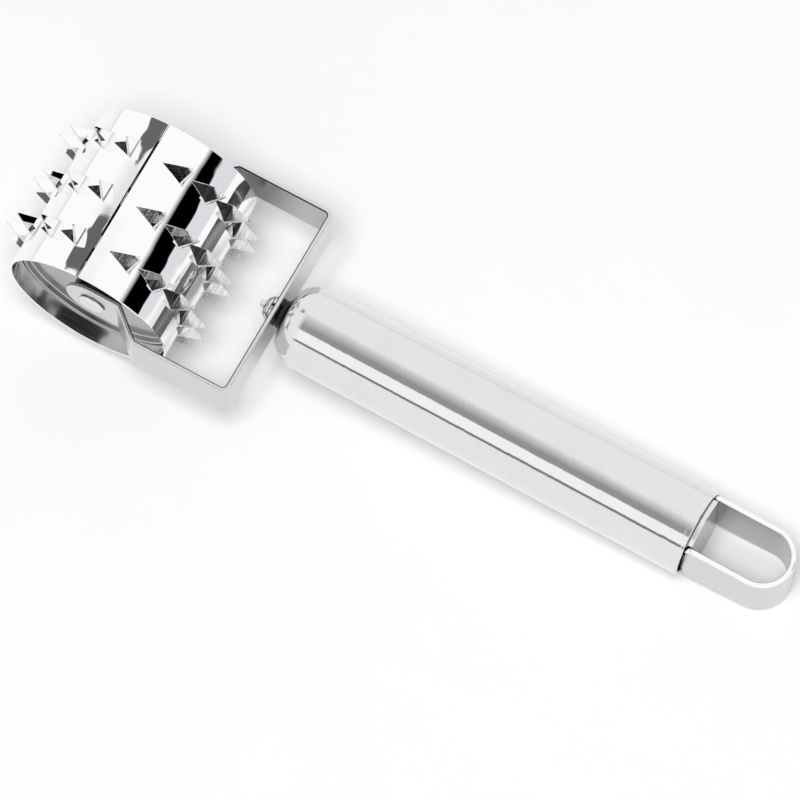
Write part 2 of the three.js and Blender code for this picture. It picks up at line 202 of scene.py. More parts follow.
class TenderizerFinishes(bpy.types.PropertyGroup):
    """Colours and polish of the tool's materials"""

    mirror: colour("Mirror steel", "Outside of the roller", (0.97, 0.97, 0.975))
    mirror_blur: share("Mirror blur", "Roughness of the mirror steel", 0.02)
    mill: colour("Mill steel", "Inside of the sheet and backs of the teeth", (0.9, 0.9, 0.9))
    mill_blur: share("Mill blur", "Roughness of the mill finish", 0.12)
    # Painted shade: near black on the seam's cut faces and the yoke's inner top rounding
    sheared: colour("Sheared steel", "Cut edges at the seam and inside the yoke", (0.05, 0.05, 0.055))
    satin: colour("Satin steel", "Handle and cap", (0.8, 0.8, 0.79))
    satin_blur: share("Satin blur", "Roughness of the satin steel", 0.05)
    strip: colour("Strip steel", "Yoke and loop", (0.655, 0.655, 0.665))
    strip_blur: share("Strip blur", "Roughness of the strip steel", 0.2)
    # Painted shade: the strip darkened for the inner sides of the yoke and the loop and the faces of the
    # cap's flange
    strip_inside: colour("Strip inside", "Inner sides of the yoke and the loop", (0.44, 0.44, 0.43))
    pressed: colour("Pressed steel", "End discs", (0.42, 0.42, 0.435))
    pressed_blur: share("Pressed blur", "Roughness of the pressed steel", 0.16)
    turned: colour("Turned steel", "Axle, washers, screw and insert", (0.78, 0.78, 0.79))
    turned_blur: share("Turned blur", "Roughness of the turned steel", 0.14)
    # Painted shade: the thrust washers darkened to near black
    blackened: colour("Blackened steel", "Thrust washers", (0.05, 0.05, 0.055))
    # Partly painted shade: the bushes' colour darkened
    bronze: colour("Bronze", "Bushes", (0.15, 0.138, 0.132))
    spacer: colour("Spacer", "Black spacer", (0.012, 0.012, 0.012))


class TenderizerStage(bpy.types.PropertyGroup):
    """The camera, the floor and the lights"""

    azimuth: angle("Azimuth", "Where the camera stands round the tool", 41.5075)
    elevation: angle("Elevation", "Height of the camera over the horizon", 67.3635)
    roll: angle("Roll", "Turn of the camera about its line of sight", -13.236)
    distance: length("Distance", "Camera to the point that it looks at", 2186.51)
    aim: bpy.props.FloatVectorProperty(
        name="Aim", description="Point that the camera looks at", default=(0.002323, -0.008026, 0.0285),
        size=3, subtype="TRANSLATION", unit="LENGTH",
    )
    lens: bpy.props.FloatProperty(
        name="Lens", description="Focal length of the camera", default=405.04, min=1, unit="CAMERA"
    )
    floor: colour("Floor", "Colour of the floor", (0.96, 0.96, 0.96))
    sky: bpy.props.FloatProperty(
        name="Sky", description="Strength of the white surroundings", default=0.41, min=0
    )
    key: bpy.props.FloatProperty(
        name="Key light", description="Power of the large soft lamp", default=46.5, min=0, unit="POWER"
    )
    key_azimuth: angle("Key azimuth", "Where the lamp stands round the tool", 30.8)
    key_elevation: angle("Key elevation", "Height of the lamp over the horizon", 73.1)
    key_distance: length("Key distance", "Lamp to the point that the camera looks at", 2600)
    key_size: length("Key size", "Width of the lamp", 1200)


class Socket:
    """A shader socket that takes part in sums: numbers through Math, colours and vectors through
    Mix and Vector Math."""

    def __init__(self, tree, socket):
        self.tree = tree
        self.socket = socket

    def _joined(self, operation, left, right):
        sockets = [side for side in (left, right) if isinstance(side, Socket)]
        wide = next((side for side in sockets if side.socket.type != "VALUE"), None)
        if wide is None:
            return self.tree.node("ShaderNodeMath", {"operation": operation}, {0: left, 1: right})
        if wide.socket.type == "RGBA":
            blend = {"blend_type": operation, "data_type": "RGBA"}
            return self.tree.node("ShaderNodeMix", blend, {0: 1, 6: left, 7: right}, 2)
        return self.tree.node("ShaderNodeVectorMath", {"operation": operation}, {0: left, 1: right})

    def __add__(self, other):
        return self._joined("ADD", self, other)

    def __radd__(self, other):
        return self._joined("ADD", other, self)

    def __sub__(self, other):
        return self._joined("SUBTRACT", self, other)

    def __rsub__(self, other):
        return self._joined("SUBTRACT", other, self)

    def __mul__(self, other):
        return self._joined("MULTIPLY", self, other)

    def __rmul__(self, other):
        return self._joined("MULTIPLY", other, self)


class Tree:
    """The node tree of a material or of the world, emptied, with one method that adds a node."""

    def __init__(self, owner):
        owner.use_nodes = True
        self.nodes = owner.node_tree.nodes
        self.links = owner.node_tree.links
        self.nodes.clear()

    def node(self, kind, settings=None, values=None, output=0):
        """Adds a node of a type, makes its settings, gives its inputs values or links, and returns
        one of its outputs."""
        node = self.nodes.new(kind)
        for name, value in (settings or {}).items():
            setattr(node, name, value)
        for name, value in (values or {}).items():
            socket = node.inputs[name]
            if isinstance(value, Socket):
                self.links.new(value.socket, socket)
            elif socket.type == "RGBA" and not hasattr(value, "__len__"):
                socket.default_value = (value, value, value, 1)
            elif socket.type == "RGBA":
                socket.default_value = (*value[:3], 1)
            else:
                socket.default_value = value
        return Socket(self, node.outputs[output]) if node.outputs else None

    def mixed(self, colour, tint):
        """A colour times a number that varies."""
        grey = self.node("ShaderNodeCombineColor", None, {0: tint, 1: tint, 2: tint})
        return grey * tuple(colour)

    def finish(self, shader, kind="ShaderNodeOutputMaterial"):
        self.node(kind, None, {"Surface": shader})


def limited(value, low, high, to_low, to_high):
    """Maps a number from one range to another, and holds it there."""
    numbers = {"Value": value, "From Min": low, "From Max": high, "To Min": to_low, "To Max": to_high}
    return value.tree.node("ShaderNodeMapRange", {"clamp": True}, numbers)


class Finish(Tree):
    """A procedural finish on the flat layout that each piece's mesh carries: X along the sheet or
    round the turned piece, Y across it, both in millimetres, and Z as 1 on its rounded edges."""

    def __init__(self, name):
        self.material = bpy.data.materials.new(name)
        super().__init__(self.material)
        self.laid = self.node("ShaderNodeAttribute", {"attribute_name": "laid"}, None, 1)
        self.edge = self.part(2)

    def part(self, axis):
        """One number of the layout."""
        return self.node("ShaderNodeSeparateXYZ", None, {0: self.laid}, axis)

    def noise(self, scale, detail=2.0, roughness=0.5, distortion=0.0):
        """Noise from -1 to 1 with its own size along each direction of the layout, per millimetre."""
        place = self.laid * scale
        values = {"Vector": place, "Scale": 1, "Detail": detail, "Roughness": roughness,
                  "Distortion": distortion}
        return limited(self.node("ShaderNodeTexNoise", None, values), 0, 1, -1, 1)

    def coat(self, colour, tint, blur, height, depth, fixed):
        """Ends the tree with a colour that a tint multiplies, its blur, the height of its marks in
        shares of a depth in metres, and the shader's fixed values."""
        marks = {"Height": height, "Distance": depth, "Strength": 1}
        values = {"Base Color": self.mixed(colour, tint), "Roughness": blur,
                  "Normal": self.node("ShaderNodeBump", None, marks), **fixed}
        self.finish(self.node("ShaderNodeBsdfPrincipled", None, values))
        return self.material

    def metal(self, colour, tint, blur, height, depth):
        return self.coat(colour, tint, blur, height, depth, {"Metallic": 1})


def polished_sheet(finishes):
    """Polished sheet: faint waves from rolling, fine hairlines, and a little haze that comes and
    goes."""
    steel = Finish("polished_sheet")
    waves = steel.noise((0.05, 0.09, 0), 1, 0.4)
    hairs = steel.noise((0.25, 22, 0), 3, 0.6)
    haze = steel.noise((0.35, 0.5, 0), 3, 0.6)
    blur = finishes.mirror_blur + 0.01 * haze + 0.05 * steel.edge
    tint = limited(haze, -1, 1, 0.985, 1.0)
    return steel.metal(finishes.mirror, tint, blur, waves + 0.0035 * hairs, 0.04 * MM)


def mill_sheet(finishes):
    """Backs of the teeth: lines along the roller from rolling, and smears."""
    steel = Finish("mill_sheet")
    lines = steel.noise((2.2, 0.1, 0), 2, 0.6)
    streaks = steel.noise((0.9, 0.35, 0), 3, 0.6, 0.4)
    tint = limited(lines + 0.8 * streaks, -0.75, 0.75, 0.6, 1.05)
    blur = finishes.mill_blur + 0.05 * streaks - 0.05 * steel.edge
    return steel.metal(finishes.mill, tint, blur, lines + 0.5 * streaks, 0.03 * MM)


def inside_painted_shade(finishes):
    """Inside of the roller: bright in its rims, and between the discs painted shade and painted
    reflections in wide bands along it, darkest in a painted dark line opposite the seam."""
    steel = Finish("inside_painted_shade")
    across = steel.node("ShaderNodeMath", {"operation": "ABSOLUTE"}, {0: steel.part(1)})
    inside = limited(across, 16, 18, 1, 0)
    bands = steel.noise((0.9, 0.02, 0), 1, 0.5)
    dark_line_distance = steel.node("ShaderNodeMath", {"operation": "ABSOLUTE"}, {0: steel.part(0) - 79.6})
    # Painted shade and painted reflections: dark bands along the roller between the discs, and a
    # near-black line opposite the seam
    painted_shade_and_reflection = limited(bands, -0.35, 0.35, 0.12, 0.9) * limited(dark_line_distance, 2, 4, 0.03, 1)
    tint = 1 - inside + inside * painted_shade_and_reflection
    blur = finishes.mill_blur + 0.12 * inside
    return steel.metal(finishes.mill, tint, blur, bands * inside, 0.02 * MM)


def painted_shade_edge(finishes):
    """Painted shade on the seam's cut faces and along the yoke's inner top edge: near black, with a
    coarse grain across it.
    """
    steel = Finish("painted_shade_edge")
    grain = steel.noise((5, 5, 0), 3, 0.6)
    tint = limited(grain, -1, 1, 0.6, 1.4)
    return steel.metal(finishes.sheared, tint, 0.4 + 0.1 * grain, grain, 0.02 * MM)


def buffed_tube(finishes):
    """Buffed tube: soft marks that run round it and a polish that varies along it."""
    steel = Finish("buffed_tube")
    rings = steel.noise((0.03, 6, 0), 4, 0.65)
    clouds = steel.noise((0.06, 0.12, 0), 3, 0.6, 0.5)
    marks = steel.noise((0.14, 0.4, 0), 3, 0.6, 0.4)
    blur = finishes.satin_blur + 0.015 * rings + 0.02 * clouds + 0.05 * steel.edge
    tint = limited(clouds + 0.3 * rings + 0.8 * marks, -1, 1, 0.93, 1.0)
    return steel.metal(finishes.satin, tint, blur, 0.02 * rings + clouds + 0.2 * marks, 0.03 * MM)


def brushed(name, colour, blur):
    """Flat strip, buffed along its length, a little brighter where its edges are rubbed."""
    steel = Finish(name)
    lines = steel.noise((0.08, 12, 0), 4, 0.7)
    clouds = steel.noise((0.1, 0.22, 0), 3, 0.6, 0.3)
    tint = limited(0.5 * lines + clouds, -1, 1, 0.9, 1.0) + 0.1 * steel.edge
    return steel.metal(colour, tint, blur + 0.03 * lines + 0.05 * clouds, lines + clouds, 0.008 * MM)


def buffed_strip(finishes):
    return brushed("buffed_strip", finishes.strip, finishes.strip_blur)


# Painted shade: the strip darkened for the inner sides of the yoke and the loop and the cap's flange
# faces
def strip_painted_shade(finishes):
    return brushed("strip_painted_shade", finishes.strip_inside, finishes.strip_blur)


def pressed_sheet(finishes):
    """Pressed sheet: faint rings from the press, smears, and a polished lip."""
    steel = Finish("pressed_sheet")
    rings = steel.noise((0.02, 1.6, 0), 2, 0.5)
    smears = steel.noise((0.15, 0.3, 0), 2, 0.5, 0.6)
    blur = finishes.pressed_blur + 0.03 * rings + 0.06 * smears - 0.06 * steel.edge
    tint = limited(rings + smears, -1.2, 1.2, 0.86, 1.0) + 0.1 * steel.edge
    return steel.metal(finishes.pressed, tint, blur, 0.4 * rings + smears, 0.012 * MM)


def turned_metal(finishes):
    """Small turned parts: fine tool rings and bright rubbed edges."""
    steel = Finish("turned_metal")
    rings = steel.noise((0.1, 11, 0), 3, 0.6)
    smears = steel.noise((0.5, 0.5, 0), 3, 0.6)
    blur = finishes.turned_blur + 0.04 * rings + 0.05 * smears
    tint = limited(rings + smears, -1, 1, 0.85, 1.0) + 0.08 * steel.edge
    return steel.metal(finishes.turned, tint, blur, rings + smears, 0.01 * MM)


def washer_painted_shade(finishes):
    """Thrust washers in painted shade: near black, with rubbed rings and brighter edges."""
    steel = Finish("washer_painted_shade")
    rings = steel.noise((0.1, 7, 0), 3, 0.6)
    tint = limited(rings, -1, 1, 0.7, 1.3) + 0.6 * steel.edge
    return steel.metal(finishes.blackened, tint, 0.35 + 0.05 * rings, rings, 0.01 * MM)


def sintered_bronze(finishes):
    """Sintered bushes: a fine grain on a dark colour, partly the metal's own and partly painted shade.
    """
    bronze = Finish("sintered_bronze")
    grain = bronze.noise((6, 6, 0), 4, 0.7)
    tint = limited(grain, -0.6, 0.6, 0.6, 1.05)
    return bronze.metal(finishes.bronze, tint, 0.38 + 0.1 * grain, grain, 0.02 * MM)


def moulded_spacer(finishes):
    """Moulded black spacer: matt, with a fine grain and a slight bloom on its edges."""
    black = Finish("moulded_spacer")
    grain = black.noise((8, 8, 0), 3, 0.6)
    tint = limited(grain, -1, 1, 0.7, 1.4) + 0.8 * black.edge
    blur = 0.5 + 0.08 * grain
    return black.coat(finishes.spacer, tint, blur, grain, 0.02 * MM, {"Specular IOR Level": 0.4})


SLOT_FINISHES = {
    "mirror_steel": polished_sheet,
    "satin_steel": buffed_tube,
    "strip_steel": buffed_strip,
    "pressed_steel": pressed_sheet,
    "turned_steel": turned_metal,
    "bearing_bronze": sintered_bronze,
    "black_spacer": moulded_spacer,
}


def finish(maker):
    """The finish that a function makes, made the first time that a piece asks for it."""
    made = bpy.data.materials.get(maker.__name__)
    return made or maker(bpy.context.scene.tenderizer_finishes)


def right_of(way):
    return Vector((way.y, -way.x))


def heading_at(turn):
    return Vector((math.cos(turn), math.sin(turn)))


def rounded(corners, closed=True, step=math.radians(9)):
    """(u, v, radius) corners joined by straight lines, each rounded to its radius, as (point,
    outward normal) pairs. Outward is to the right of the way that the corners go round."""
    line = []
    count = len(corners)
    for i, (u, v, radius) in enumerate(corners):
        corner = Vector((u, v))
        before = corner - Vector(corners[i - 1][:2])
        after = Vector(corners[(i + 1) % count][:2]) - corner
        before.normalize()
        after.normalize()
        if not closed and i in (0, count - 1):
            line.append((corner, right_of(after if i == 0 else before)))
            continue
        turn = math.atan2(before.cross(after), before.dot(after))
        if abs(turn) < math.radians(12):
            line.append((corner, (right_of(before) + right_of(after)).normalized()))
            continue
        if not radius:
            line += [(corner, right_of(before)), (corner, right_of(after))]
            continue
        side = math.copysign(radius, turn)
        centre = corner - before * abs(side * math.tan(turn / 2)) - right_of(before) * side
        steps = max(2, math.ceil(abs(turn) / step))
        for k in range(steps + 1):
            normal = Matrix.Rotation(turn * k / steps, 2) @ right_of(before)
            line.append((centre + normal * side, normal))
    kept = [line[0]]
    for point, normal in line[1:]:
        if (point - kept[-1][0]).length > SAME_PLACE or normal.dot(kept[-1][1]) < 0.999:
            kept.append((point, normal))
    if closed and (kept[0][0] - kept[-1][0]).length < SAME_PLACE and kept[0][1].dot(kept[-1][1]) > 0.999:
        kept.pop()
    return kept


class Run:
    """The middle line of a bent strip in plan: straight stretches and round bends in turn."""

    def __init__(self, start, heading, stretches):
        """Each stretch is its length and how far it turns to the left."""
        self.parts = []
        self.length = 0.0
        point = Vector(start)
        for size, turn in stretches:
            self.parts.append((self.length, size, turn, point, heading))
            point, heading = self._walked(point, heading, size, turn, size)
            self.length += size

    @staticmethod
    def _walked(point, heading, size, turn, distance):
        if not turn:
            return point + heading_at(heading) * distance, heading
        radius = size / turn
        new_heading = heading + turn * distance / size
        centre = point - right_of(heading_at(heading)) * radius
        return centre + right_of(heading_at(new_heading)) * radius, new_heading

    def at(self, distance):
        """The point and heading at a distance along the line."""
        part = self.parts[0]
        for other in self.parts[1:]:
            if other[0] > distance:
                break
            part = other
        start, size, turn, point, heading = part
        return self._walked(point, heading, size, turn, distance - start)

    def stops(self, step):
        """Distances at which a sheet that follows the line needs an edge across it."""
        found = []
        for start, size, turn, _, _ in self.parts:
            steps = max(1, math.ceil(abs(turn) / step))
            found += [start + size * k / steps for k in range(steps)]
        return found[1:]


def run_through(corners, radius):
    """A run through corners in plan, each rounded to a radius."""
    points = [Vector(corner) for corner in corners]
    ways = [(b - a).normalized() for a, b in zip(points, points[1:])]
    turns = [math.atan2(a.cross(b), a.dot(b)) for a, b in zip(ways, ways[1:])]
    reaches = [0, *(radius * math.tan(abs(turn) / 2) for turn in turns), 0]
    stretches = []
    for i in range(len(ways)):
        straight = (points[i + 1] - points[i]).length - reaches[i] - reaches[i + 1]
        stretches.append((straight, 0))
        if i < len(turns):
            stretches.append((radius * abs(turns[i]), turns[i]))
    return Run(points[0], math.atan2(ways[0].y, ways[0].x), stretches)


class Surface:
    """Points with exact normals and faces of one piece, in the tool's own frame."""

    def __init__(self):
        self.points = []
        self.normals = []
        self.laid = []
        self.faces = []
        self.finishes = []

    def add(self, point, normal, laid):
        self.points.append(point)
        self.normals.append(normal)
        self.laid.append(laid)
        return len(self.points) - 1

    def face(self, corners, finish_index=0):
        """Adds a face, turned to look the way that its points' normals do."""
        a, b, c = (self.points[i] for i in corners[:3])
        looks = sum((self.normals[i] for i in corners), Vector((0, 0, 0)))
        if (b - a).cross(c - a).dot(looks) < 0:
            corners = corners[::-1]
        self.faces.append(tuple(corners))
        self.finishes.append(finish_index)

    def take(self, other, place=Matrix.Identity(4)):
        """Adds another surface, moved to a place."""
        first = len(self.points)
        turn = place.to_3x3()
        self.points += [place @ point for point in other.points]
        self.normals += [turn @ normal for normal in other.normals]
        self.laid += other.laid
        self.faces += [tuple(i + first for i in face) for face in other.faces]
        self.finishes += other.finishes

    def piece(self, node, body, slot, *finishes):
        """Makes the piece that stands for a node of the frame and rides on its body."""
        mesh = bpy.data.meshes.new(node + "_fine")
        mesh.from_pydata([TOOL @ point for point in self.points], [], self.faces)
        mesh.polygons.foreach_set("use_smooth", [True] * len(self.faces))
        mesh.polygons.foreach_set("material_index", self.finishes)
        laid = mesh.attributes.new("laid", "FLOAT_VECTOR", "POINT")
        laid.data.foreach_set("vector", [number for spot in self.laid for number in spot])
        turn = TOOL_TURN.to_3x3()
        mesh.normals_split_custom_set_from_vertices([turn @ normal for normal in self.normals])
        for maker in finishes or (SLOT_FINISHES[slot],):
            mesh.materials.append(finish(maker))
        piece = bpy.data.objects.new(node + "_fine", mesh)
        bpy.context.scene.collection.objects.link(piece)
        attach(piece, body)
        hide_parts(node)
        return piece


def turned(line, sides, place, closed=True):
    """A surface turned about an axis from a line of (point, normal) pairs, each point a radius and
    a distance along the axis."""
    surface = Surface()
    rings = []
    run = 0.0
    turn = place.to_3x3()
    round_size = max(point.x for point, _ in line) / MM * math.tau
    for i, (point, normal) in enumerate(line):
        if i:
            run += (point - line[i - 1][0]).length / MM
        edge = min(1.0, 2 * min(abs(normal.x), abs(normal.y)))
        ring = []
        for k in range(sides + 1):
            cos, sin = math.cos(math.tau * k / sides), math.sin(math.tau * k / sides)
            spot = place @ Vector((point.x * cos, point.x * sin, point.y))
            looks = turn @ Vector((normal.x * cos, normal.x * sin, normal.y))
            ring.append(surface.add(spot, looks, (round_size * k / sides, run, edge)))
        rings.append(ring)
    pairs = list(zip(range(len(line)), range(1, len(line)))) + ([(len(line) - 1, 0)] if closed else [])
    for i, j in pairs:
        gap = (line[i][0] - line[j][0]).length
        if gap < SAME_PLACE:
            continue
        for k in range(sides):
            corners = [rings[i][k], rings[i][k + 1], rings[j][k + 1], rings[j][k]]
            if line[i][0].x < SAME_PLACE:
                corners.pop(1)
            elif line[j][0].x < SAME_PLACE:
                corners.pop(2)
            surface.face(corners)
    return surface


def ring(corners, sides, place):
    """A closed ring about an axis, from the (radius, along, rounding) corners of its section,
    listed anticlockwise."""
    return turned(rounded(corners), sides, place)


def crossings(loop, stops):
    """A loop of (point, normal, open) with points added where it crosses the stops."""
    full = []
    for (point, normal, is_open), (onward, next_normal, _) in zip(loop, loop[1:] + loop[:1]):
        full.append((point, normal, is_open))
        low, high = sorted((point.x, onward.x))
        inside = [s for s in stops if low + SAME_PLACE < s < high - SAME_PLACE]
        for s in sorted(inside, reverse=point.x > onward.x):
            part = (s - point.x) / (onward.x - point.x)
            spot = Vector((s, point.y + (onward.y - point.y) * part))
            full.append((spot, normal.lerp(next_normal, part).normalized(), is_open))
    return full


def holds(loop, spot):
    """Whether a point lies inside a loop."""
    inside = False
    for (a, _, _), (b, _, _) in zip(loop, loop[1:] + loop[:1]):
        if (a.y > spot.y) != (b.y > spot.y):
            if spot.x < a.x + (b.x - a.x) * (spot.y - a.y) / (b.y - a.y):
                inside = not inside
    return inside


def sheet(run, outline, holes, thickness, rounding, place=Matrix.Identity(4),
          step=math.radians(6), finishes=(0, 0, 0, 0)):
    """A sheet cut to an outline with holes and bent along a run.

    The loops' points lie where the flat of the sheet ends, and its rounded edge stands out from
    there along each point's normal, apart from the stretches that are open. Plan X, plan Y and the
    way across the strip become the X, Y and Z of place. The finishes are those of the outer side,
    the inner side, the edge and the edge's inner rounding."""
    surface = Surface()
    stops = run.stops(step)
    loops = [crossings(loop, stops) for loop in (outline, *holes)]
    boxes = [(min(p.x for p, _, _ in loop), max(p.x for p, _, _ in loop),
              min(p.y for p, _, _ in loop), max(p.y for p, _, _ in loop)) for loop in loops]
    turn = place.to_3x3()

    def material(spot):
        if not holds(loops[0], spot):
            return False
        return not any(
            low <= spot.x <= high and near <= spot.y <= far and holds(loop, spot)
            for loop, (low, high, near, far) in zip(loops[1:], boxes[1:])
        )

    def laid_point(spot, looks, out, edge):
        """Bends a flat point: looks is its flat normal and out its distance from the middle."""
        point, heading = run.at(spot.x)
        way = heading_at(heading)
        side = right_of(way)
        plan = point + side * out
        normal = way * looks.x + side * looks.z
        laid = (spot.x / MM, spot.y / MM, edge)
        return surface.add(place @ Vector((plan.x, plan.y, spot.y)),
                           turn @ Vector((normal.x, normal.y, looks.y)), laid)

    flat, edges = [], []
    for loop in loops:
        first = len(flat)
        flat += [point for point, _, _ in loop]
        edges += [(first + i, first + (i + 1) % len(loop)) for i in range(len(loop))]
    for s in stops:
        across = [i for i, spot in enumerate(flat) if abs(spot.x - s) < SAME_PLACE]
        across.sort(key=lambda i: flat[i].y)
        for a, b in zip(across, across[1:]):
            if flat[b].y - flat[a].y > SAME_PLACE and material((flat[a] + flat[b]) / 2):
                edges.append((a, b))
    spots, _, triangles, _, _, _ = delaunay_2d_cdt(flat, edges, [], 0, 1e-8, False)
    for side, finish_index in ((1, finishes[0]), (-1, finishes[1])):
        corners = [laid_point(spot, Vector((0, 0, side)), side * thickness / 2, 0) for spot in spots]
        for triangle in triangles:
            if material(sum((spots[i] for i in triangle), Vector((0, 0))) / 3):
                surface.face([corners[i] for i in triangle], finish_index)
    quarter = [math.radians(90) * k / 3 for k in range(4)]
    profile = [(math.sin(a), math.cos(a), thickness / 2 - rounding) for a in quarter]
    profile += [(out, -up, -base) for out, up, base in reversed(profile)]
    for loop in loops:
        rows = []
        for point, normal, _ in loop:
            rows.append([
                laid_point(point + normal * rounding * out, Vector((normal.x * out, normal.y * out, up)),
                           base + rounding * up, 1)
                for out, up, base in profile
            ])
        for i, (_, _, is_open) in enumerate(loop):
            if is_open:
                continue
            here, onward = rows[i], rows[(i + 1) % len(loop)]
            for k in range(len(profile) - 1):
                finish_index = finishes[3 if k > 3 else 2]
                surface.face([here[k], here[k + 1], onward[k + 1], onward[k]], finish_index)
    return surface


def inset(line, rounding):
    """A loop for a sheet from a closed line, drawn in by the rounding of its edge."""
    return [(point - normal * rounding, normal, False) for point, normal in line]


def round_hole(centre, radius, rounding, sides=32):
    """A loop round a hole in a sheet."""
    loop = []
    for k in range(sides):
        way = heading_at(-math.tau * k / sides)
        loop.append((centre + way * (radius + rounding), -way, False))
    return loop


def tooth_loop(sizes, base, direction):
    """A tooth's triangle, flat in the sheet, open at its root. Direction is 1 for the tooth, with
    its tip ahead, and -1 for the hole behind its root."""
    half, tip = sizes.tooth_width / 2, sizes.tooth_tip / 2
    far = base + direction * (sizes.tooth_length - TOOTH_ROUNDING)
    side = Vector((half - tip, direction * sizes.tooth_length)).normalized()
    upper, lower, ahead = Vector((side.x, side.y)), Vector((side.x, -side.y)), Vector((1, 0))
    corners = [(base, -half, lower), (far, -tip, lower), (far, -tip, ahead),
               (far, tip, ahead), (far, tip, upper), (base, half, upper)]
    return [(Vector((along, across)), normal, k == len(corners) - 1)
            for k, (along, across, normal) in enumerate(corners)]


def twisted(tooth, root_radius, bend_radius, twist):
    """A tooth turned a little about its own length, from nothing at its bend."""
    copy = Surface()
    copy.take(tooth)
    for i, (point, normal) in enumerate(zip(tooth.points, tooth.normals)):
        share = min(1, max(0, (point.x - root_radius - bend_radius) / (1.5 * MM)))
        turn = Matrix.Rotation(twist * share, 3, "X")
        middle = Vector((0, -bend_radius, 0))
        copy.points[i] = middle + turn @ (point - middle)
        copy.normals[i] = turn @ normal
    return copy


def roller_surface(sizes):
    half_sheet = sizes.roller_sheet / 2
    middle_radius = sizes.roller_radius - half_sheet
    gap_angle = sizes.seam_gap / middle_radius
    start = sizes.seam_angle + gap_angle / 2
    whole = math.tau - gap_angle
    # Plan X is up, plan Y towards the handle, and the way across the sheet along the axle
    place = Matrix(((0, 1, 0, 0), (0, 0, 1, 0), (1, 0, 0, 0), (0, 0, 0, 1)))
    run = Run(heading_at(start) * middle_radius, start + math.pi / 2, [(middle_radius * whole, whole)])
    bend_radius = sizes.tooth_bend + half_sheet
    bend_angle = math.atan(bend_radius / sizes.roller_radius)
    pitch = (sizes.last_tooth - sizes.first_tooth) / (sizes.row_teeth - 1)
    bases = [sizes.first_tooth + pitch * i + bend_angle for i in range(sizes.row_teeth)]
    rows = [(row - (sizes.tooth_rows - 1) / 2) * sizes.row_pitch for row in range(sizes.tooth_rows)]
    holes = []
    for row in rows:
        for base in bases:
            loop = tooth_loop(sizes, (base - start) * middle_radius, -1)
            holes.append([(point + Vector((0, row)), *rest) for point, *rest in loop])
    rounding = 0.14 * MM
    half = sizes.roller_length / 2
    corner = 0.4 * MM
    outline = rounded([(0, -half, corner), (run.length, -half, corner), (run.length, half, corner),
                       (0, half, corner)])
    shell = sheet(run, inset(outline, rounding), holes, sizes.roller_sheet, rounding, place,
                  math.radians(2), (0, 3, 0, 0))
    # The sheet's two cut ends, which meet at the seam, take a near-black painted shade
    for i, face in enumerate(shell.faces):
        alongs = [shell.laid[k][0] * MM for k in face]
        at_seam = max(alongs) < corner / 2 or min(alongs) > run.length - corner / 2
        if at_seam and all(shell.laid[k][2] for k in face):
            shell.finishes[i] = 2
    bend = math.pi / 2 * bend_radius
    tooth_run = Run((middle_radius, 0), -math.pi / 2,
                    [(bend, math.pi / 2), (sizes.tooth_length - bend, 0)])
    tooth = sheet(tooth_run, tooth_loop(sizes, 0, 1), [], sizes.roller_sheet, TOOTH_ROUNDING,
                  step=math.radians(15), finishes=(1, 0, 1, 1))
    chance = random.Random(sizes.tooth_seed)
    for r, row in enumerate(rows):
        for i, base in enumerate(bases):
            turn = Matrix.Rotation(base, 4, "Z")
            twist = chance.uniform(-1, 1) * sizes.tooth_twist
            copy = Surface()
            copy.take(twisted(tooth, middle_radius, bend_radius, twist),
                      place @ Matrix.Translation((0, 0, row)) @ turn)
            copy.laid = [(x + 37.0 * i + 641.0 * r, y + 3.0 * r, z) for x, y, z in copy.laid]
            shell.take(copy)
    return shell


def dome(radius, height, base, direction, steps=10):
    """A quarter ellipse in (radius, along), from the foot of a dome to its middle."""
    line = []
    for k in range(steps + 1):
        turn = math.pi / 2 * k / steps
        cos, sin = math.cos(turn), math.sin(turn)
        normal = Vector((cos / radius, direction * sin / height)).normalized()
        line.append((Vector((radius * cos, base + direction * height * sin)), normal))
    return line


def mirrored_line(line):
    """A line the other way up along its axis, and the other way round."""
    return [(Vector((p.x, -p.y)), Vector((n.x, -n.y))) for p, n in reversed(line)]


def axle_surface(sizes):
    head = dome(sizes.axle_head_radius, sizes.axle_head_height, sizes.axle_head_start, 1)
    foot = [(sizes.axle_radius, 0, 0), (sizes.axle_radius, sizes.axle_head_start, 0),
            (sizes.axle_head_radius, sizes.axle_head_start, 0)]
    half = rounded(foot, closed=False) + head
    return turned(mirrored_line(half) + half, SMALL_ROUND, ABOUT_Y, closed=False)


def yoke_surface(sizes):
    end = sizes.strip_width / 2
    half = [(-end, sizes.tab_place), (sizes.step_start, sizes.tab_place),
            (sizes.step_end, sizes.arm_place), (sizes.back_place, sizes.arm_place)]
    run = run_through([(x, -y) for x, y in half] + half[::-1], sizes.strip_bend)
    rounding = 0.3 * MM
    outline = rounded([(0, -end, end), (run.length, -end, end), (run.length, end, end), (0, end, end)],
                      step=math.radians(4))
    centres = ((end, sizes.axle_hole), (run.length - end, sizes.axle_hole),
               (run.length / 2, sizes.neck_hole))
    holes = [round_hole(Vector((place, 0)), radius, rounding) for place, radius in centres]
    # The yoke's inner side takes the strip's painted shade, and the inner rounding of its edges a
    # near-black painted shade
    return sheet(run, inset(outline, rounding), holes, sizes.strip_sheet, rounding,
                 finishes=(0, 1, 0, 2))


